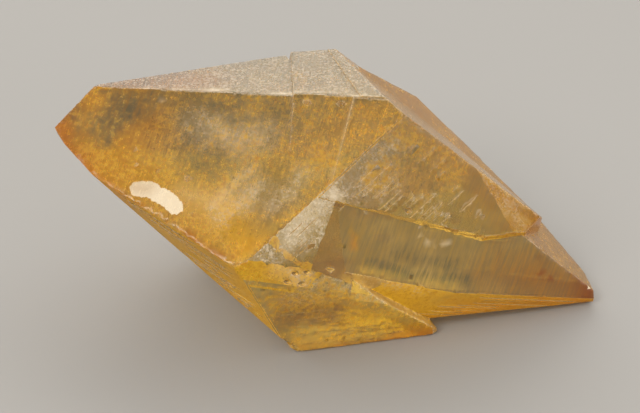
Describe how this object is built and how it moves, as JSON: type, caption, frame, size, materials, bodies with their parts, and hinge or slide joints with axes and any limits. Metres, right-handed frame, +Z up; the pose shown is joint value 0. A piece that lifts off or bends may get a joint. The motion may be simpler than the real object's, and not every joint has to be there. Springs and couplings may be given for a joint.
{
  "type": "calcite crystal",
  "caption": "Honey-coloured clear calcite crystal, doubly pointed dogtooth form of several parallel growths, lying on a side face.",
  "frame": {"origin": "centre of the bounding box's footprint, on the plane that the crystal rests on", "axes": "+Z up, X along the crystal with its raised cleaved tip at -X and its low slim tip at +X, -Y towards the broad front faces"},
  "size_m": [0.0888, 0.0504, 0.0406],
  "materials": {
    "honey_calcite": "natural glassy crystal faces, partly etched and iron-stained"
  },
  "bodies": {
    "root": {"calcite_crystal": "honey_calcite"}
  },
  "joints": []
}
